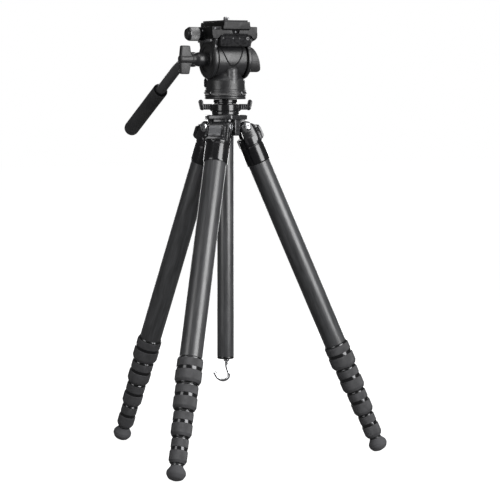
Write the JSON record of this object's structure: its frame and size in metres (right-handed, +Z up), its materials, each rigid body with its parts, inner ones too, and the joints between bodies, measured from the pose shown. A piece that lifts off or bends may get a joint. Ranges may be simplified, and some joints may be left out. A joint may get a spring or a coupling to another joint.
{
  "type": "video tripod",
  "caption": "Collapsed carbon-fibre tripod with twist-lock legs, a centre column and a fluid pan-and-tilt head with a sliding camera plate and a pan bar.",
  "frame": {"origin": "on the floor under the middle of the whole tripod's bounding box", "axes": "+Z up; -Y is the way a camera on the head faces; the head's tilt axis lies along X and the pan bar runs back along +Y on the -X side"},
  "size_m": [0.41, 0.4212, 0.6361],
  "materials": {
    "carbon": "semi-gloss wound carbon fibre in resin, with lengthwise streaks",
    "cast_black": "gloss black anodised casting",
    "head_black": "fine satin black paint on a casting",
    "grip_rubber": "matt ribbed rubber",
    "foot_rubber": "matt grey-black moulded rubber",
    "chrome": "polished bright steel",
    "grey_alloy": "grey anodised aluminium with a fine brushed grain",
    "silver_alloy": "knurled silver-grey anodised aluminium",
    "knob_plastic": "ribbed dark grey moulded nylon",
    "foam": "matt black closed-cell foam"
  },
  "bodies": {
    "spider": {"spider": "cast_black", "leg_front_hinge_pin": "chrome", "leg_right_hinge_pin": "chrome", "leg_rear_hinge_pin": "chrome"},
    "leg_front": {"leg_front_casting": "cast_black", "leg_front_tube_1": "carbon"},
    "leg_front_tab": {"leg_front_angle_tab": "grey_alloy"},
    "leg_front_lock_1": {"leg_front_lock_1": "grip_rubber"},
    "leg_front_section_2": {"leg_front_tube_2": "carbon"},
    "leg_front_lock_2": {"leg_front_lock_2": "grip_rubber"},
    "leg_front_section_3": {"leg_front_tube_3": "carbon"},
    "leg_front_lock_3": {"leg_front_lock_3": "grip_rubber"},
    "leg_front_section_4": {"leg_front_tube_4": "carbon"},
    "leg_front_lock_4": {"leg_front_lock_4": "grip_rubber"},
    "leg_front_section_5": {"leg_front_tube_5": "carbon", "leg_front_foot": "foot_rubber"},
    "leg_right": {"leg_right_casting": "cast_black", "leg_right_tube_1": "carbon"},
    "leg_right_tab": {"leg_right_angle_tab": "grey_alloy"},
    "leg_right_lock_1": {"leg_right_lock_1": "grip_rubber"},
    "leg_right_section_2": {"leg_right_tube_2": "carbon"},
    "leg_right_lock_2": {"leg_right_lock_2": "grip_rubber"},
    "leg_right_section_3": {"leg_right_tube_3": "carbon"},
    "leg_right_lock_3": {"leg_right_lock_3": "grip_rubber"},
    "leg_right_section_4": {"leg_right_tube_4": "carbon"},
    "leg_right_lock_4": {"leg_right_lock_4": "grip_rubber"},
    "leg_right_section_5": {"leg_right_tube_5": "carbon", "leg_right_foot": "foot_rubber"},
    "leg_rear": {"leg_rear_casting": "cast_black", "leg_rear_tube_1": "carbon"},
    "leg_rear_tab": {"leg_rear_angle_tab": "grey_alloy"},
    "leg_rear_lock_1": {"leg_rear_lock_1": "grip_rubber"},
    "leg_rear_section_2": {"leg_rear_tube_2": "carbon"},
    "leg_rear_lock_2": {"leg_rear_lock_2": "grip_rubber"},
    "leg_rear_section_3": {"leg_rear_tube_3": "carbon"},
    "leg_rear_lock_3": {"leg_rear_lock_3": "grip_rubber"},
    "leg_rear_section_4": {"leg_rear_tube_4": "carbon"},
    "leg_rear_lock_4": {"leg_rear_lock_4": "grip_rubber"},
    "leg_rear_section_5": {"leg_rear_tube_5": "carbon", "leg_rear_foot": "foot_rubber"},
    "column": {"column_tube": "carbon", "column_top_plate": "cast_black", "head_base": "head_black"},
    "column_lock_collar": {"column_lock_collar": "cast_black"},
    "column_hook": {"column_hook": "chrome"},
    "head_pan": {"head_body": "head_black"},
    "pan_lock_knob": {"pan_lock_knob": "knob_plastic"},
    "head_tilt": {"left_cheek": "head_black", "right_cheek": "head_black", "platform": "head_black", "plate_receiver": "grey_alloy"},
    "plate_lock_knob": {"plate_lock_knob": "silver_alloy"},
    "tilt_lock_knob": {"tilt_lock_knob": "knob_plastic"},
    "camera_plate": {"camera_plate": "grey_alloy"},
    "camera_screw": {"camera_screw": "chrome"},
    "steady_pin": {"steady_pin": "chrome"},
    "pan_bar": {"pan_bar_clamp": "cast_black", "pan_bar": "head_black", "pan_bar_grip": "foam"},
    "pan_bar_wing_knob": {"pan_bar_wing_knob": "knob_plastic"}
  },
  "joints": [
    {"name": "leg_front_fold", "type": "hinge", "parent": "spider", "child": "leg_front", "pos_m": [-0.05051, -0.05105, 0.47812], "axis": [-0.7193, 0.6947, 0], "range_deg": [-19, 57]},
    {"name": "leg_front_tab_slide", "type": "slide", "parent": "leg_front", "child": "leg_front_tab", "axis": [-0.277, -0.2868, -0.9171], "range_m": [0, 0.005], "stiffness_N_per_m": 300, "springref_m": -0.003},
    {"name": "leg_front_lock_1_twist", "type": "hinge", "parent": "leg_front", "child": "leg_front_lock_1", "pos_m": [-0.05051, -0.05105, 0.47812], "axis": [-0.277, -0.2868, -0.9171], "range_deg": [0, 120]},
    {"name": "leg_front_section_2_slide", "type": "slide", "parent": "leg_front", "child": "leg_front_section_2", "axis": [-0.277, -0.2868, -0.9171], "range_m": [0, 0.25]},
    {"name": "leg_front_lock_2_twist", "type": "hinge", "parent": "leg_front_section_2", "child": "leg_front_lock_2", "pos_m": [-0.05051, -0.05105, 0.47812], "axis": [-0.277, -0.2868, -0.9171], "range_deg": [0, 120]},
    {"name": "leg_front_section_3_slide", "type": "slide", "parent": "leg_front_section_2", "child": "leg_front_section_3", "axis": [-0.277, -0.2868, -0.9171], "range_m": [0, 0.25]},
    {"name": "leg_front_lock_3_twist", "type": "hinge", "parent": "leg_front_section_3", "child": "leg_front_lock_3", "pos_m": [-0.05051, -0.05105, 0.47812], "axis": [-0.277, -0.2868, -0.9171], "range_deg": [0, 120]},
    {"name": "leg_front_section_4_slide", "type": "slide", "parent": "leg_front_section_3", "child": "leg_front_section_4", "axis": [-0.277, -0.2868, -0.9171], "range_m": [0, 0.25]},
    {"name": "leg_front_lock_4_twist", "type": "hinge", "parent": "leg_front_section_4", "child": "leg_front_lock_4", "pos_m": [-0.05051, -0.05105, 0.47812], "axis": [-0.277, -0.2868, -0.9171], "range_deg": [0, 120]},
    {"name": "leg_front_section_5_slide", "type": "slide", "parent": "leg_front_section_4", "child": "leg_front_section_5", "axis": [-0.277, -0.2868, -0.9171], "range_m": [0, 0.25]},
    {"name": "leg_right_fold", "type": "hinge", "parent": "spider", "child": "leg_right", "pos_m": [-0.00506, -0.03802, 0.47812], "axis": [-0.2419, -0.9703, 0], "range_deg": [-19, 57]},
    {"name": "leg_right_tab_slide", "type": "slide", "parent": "leg_right", "child": "leg_right_tab", "axis": [0.3869, -0.0965, -0.9171], "range_m": [0, 0.005], "stiffness_N_per_m": 300, "springref_m": -0.003},
    {"name": "leg_right_lock_1_twist", "type": "hinge", "parent": "leg_right", "child": "leg_right_lock_1", "pos_m": [-0.00506, -0.03802, 0.47812], "axis": [0.3869, -0.0965, -0.9171], "range_deg": [0, 120]},
    {"name": "leg_right_section_2_slide", "type": "slide", "parent": "leg_right", "child": "leg_right_section_2", "axis": [0.3869, -0.0965, -0.9171], "range_m": [0, 0.25]},
    {"name": "leg_right_lock_2_twist", "type": "hinge", "parent": "leg_right_section_2", "child": "leg_right_lock_2", "pos_m": [-0.00506, -0.03802, 0.47812], "axis": [0.3869, -0.0965, -0.9171], "range_deg": [0, 120]},
    {"name": "leg_right_section_3_slide", "type": "slide", "parent": "leg_right_section_2", "child": "leg_right_section_3", "axis": [0.3869, -0.0965, -0.9171], "range_m": [0, 0.25]},
    {"name": "leg_right_lock_3_twist", "type": "hinge", "parent": "leg_right_section_3", "child": "leg_right_lock_3", "pos_m": [-0.00506, -0.03802, 0.47812], "axis": [0.3869, -0.0965, -0.9171], "range_deg": [0, 120]},
    {"name": "leg_right_section_4_slide", "type": "slide", "parent": "leg_right_section_3", "child": "leg_right_section_4", "axis": [0.3869, -0.0965, -0.9171], "range_m": [0, 0.25]},
    {"name": "leg_right_lock_4_twist", "type": "hinge", "parent": "leg_right_section_4", "child": "leg_right_lock_4", "pos_m": [-0.00506, -0.03802, 0.47812], "axis": [0.3869, -0.0965, -0.9171], "range_deg": [0, 120]},
    {"name": "leg_right_section_5_slide", "type": "slide", "parent": "leg_right_section_4", "child": "leg_right_section_5", "axis": [0.3869, -0.0965, -0.9171], "range_m": [0, 0.25]},
    {"name": "leg_rear_fold", "type": "hinge", "parent": "spider", "child": "leg_rear", "pos_m": [-0.03907, -0.00517, 0.47812], "axis": [0.9613, 0.2756, 0], "range_deg": [-19, 57]},
    {"name": "leg_rear_tab_slide", "type": "slide", "parent": "leg_rear", "child": "leg_rear_tab", "axis": [-0.1099, 0.3833, -0.9171], "range_m": [0, 0.005], "stiffness_N_per_m": 300, "springref_m": -0.003},
    {"name": "leg_rear_lock_1_twist", "type": "hinge", "parent": "leg_rear", "child": "leg_rear_lock_1", "pos_m": [-0.03907, -0.00517, 0.47812], "axis": [-0.1099, 0.3833, -0.9171], "range_deg": [0, 120]},
    {"name": "leg_rear_section_2_slide", "type": "slide", "parent": "leg_rear", "child": "leg_rear_section_2", "axis": [-0.1099, 0.3833, -0.9171], "range_m": [0, 0.25]},
    {"name": "leg_rear_lock_2_twist", "type": "hinge", "parent": "leg_rear_section_2", "child": "leg_rear_lock_2", "pos_m": [-0.03907, -0.00517, 0.47812], "axis": [-0.1099, 0.3833, -0.9171], "range_deg": [0, 120]},
    {"name": "leg_rear_section_3_slide", "type": "slide", "parent": "leg_rear_section_2", "child": "leg_rear_section_3", "axis": [-0.1099, 0.3833, -0.9171], "range_m": [0, 0.25]},
    {"name": "leg_rear_lock_3_twist", "type": "hinge", "parent": "leg_rear_section_3", "child": "leg_rear_lock_3", "pos_m": [-0.03907, -0.00517, 0.47812], "axis": [-0.1099, 0.3833, -0.9171], "range_deg": [0, 120]},
    {"name": "leg_rear_section_4_slide", "type": "slide", "parent": "leg_rear_section_3", "child": "leg_rear_section_4", "axis": [-0.1099, 0.3833, -0.9171], "range_m": [0, 0.25]},
    {"name": "leg_rear_lock_4_twist", "type": "hinge", "parent": "leg_rear_section_4", "child": "leg_rear_lock_4", "pos_m": [-0.03907, -0.00517, 0.47812], "axis": [-0.1099, 0.3833, -0.9171], "range_deg": [0, 120]},
    {"name": "leg_rear_section_5_slide", "type": "slide", "parent": "leg_rear_section_4", "child": "leg_rear_section_5", "axis": [-0.1099, 0.3833, -0.9171], "range_m": [0, 0.25]},
    {"name": "column_slide", "type": "slide", "parent": "spider", "child": "column", "axis": [0, 0, 1], "range_m": [0, 0.28]},
    {"name": "column_collar_twist", "type": "hinge", "parent": "spider", "child": "column_lock_collar", "pos_m": [-0.03155, -0.03141, 0.51132], "axis": [0, 0, 1], "range_deg": [0, 110]},
    {"name": "hook_swivel", "type": "hinge", "parent": "column", "child": "column_hook", "pos_m": [-0.03155, -0.03141, 0.14352], "axis": [0, 0, 1], "continuous": true},
    {"name": "head_pan", "type": "hinge", "parent": "column", "child": "head_pan", "pos_m": [-0.03155, -0.03141, 0.52572], "axis": [0, 0, 1], "continuous": true},
    {"name": "pan_lock_knob_turn", "type": "hinge", "parent": "head_pan", "child": "pan_lock_knob", "pos_m": [-0.05828, -0.01779, 0.54172], "axis": [-0.891, 0.454, 0], "range_deg": [0, 270]},
    {"name": "head_tilt", "type": "hinge", "parent": "head_pan", "child": "head_tilt", "pos_m": [-0.03155, -0.03141, 0.57512], "axis": [1, 0, 0], "range_deg": [-40, 60]},
    {"name": "tilt_lock_knob_turn", "type": "hinge", "parent": "head_tilt", "child": "tilt_lock_knob", "pos_m": [0.00845, -0.03141, 0.57512], "axis": [1, 0, 0], "range_deg": [0, 180]},
    {"name": "plate_lock_knob_turn", "type": "hinge", "parent": "head_tilt", "child": "plate_lock_knob", "pos_m": [-0.08155, -0.03141, 0.61112], "axis": [-1, 0, 0], "range_deg": [0, 270]},
    {"name": "camera_plate_slide", "type": "slide", "parent": "head_tilt", "child": "camera_plate", "axis": [0, 1, 0], "range_m": [-0.012, 0.03]},
    {"name": "camera_screw_turn", "type": "hinge", "parent": "camera_plate", "child": "camera_screw", "pos_m": [-0.03155, -0.03141, 0.62512], "axis": [0, 0, 1], "continuous": true},
    {"name": "steady_pin_press", "type": "slide", "parent": "camera_plate", "child": "steady_pin", "axis": [0, 0, -1], "range_m": [0, 0.0035], "stiffness_N_per_m": 400, "springref_m": -0.002},
    {"name": "pan_bar_angle", "type": "hinge", "parent": "head_tilt", "child": "pan_bar", "pos_m": [-0.07155, -0.03141, 0.57512], "axis": [1, 0, 0], "range_deg": [-38, 30]},
    {"name": "pan_bar_wing_knob_turn", "type": "hinge", "parent": "pan_bar", "child": "pan_bar_wing_knob", "pos_m": [-0.09655, -0.03141, 0.57512], "axis": [-1, 0, 0], "range_deg": [0, 270]}
  ]
}
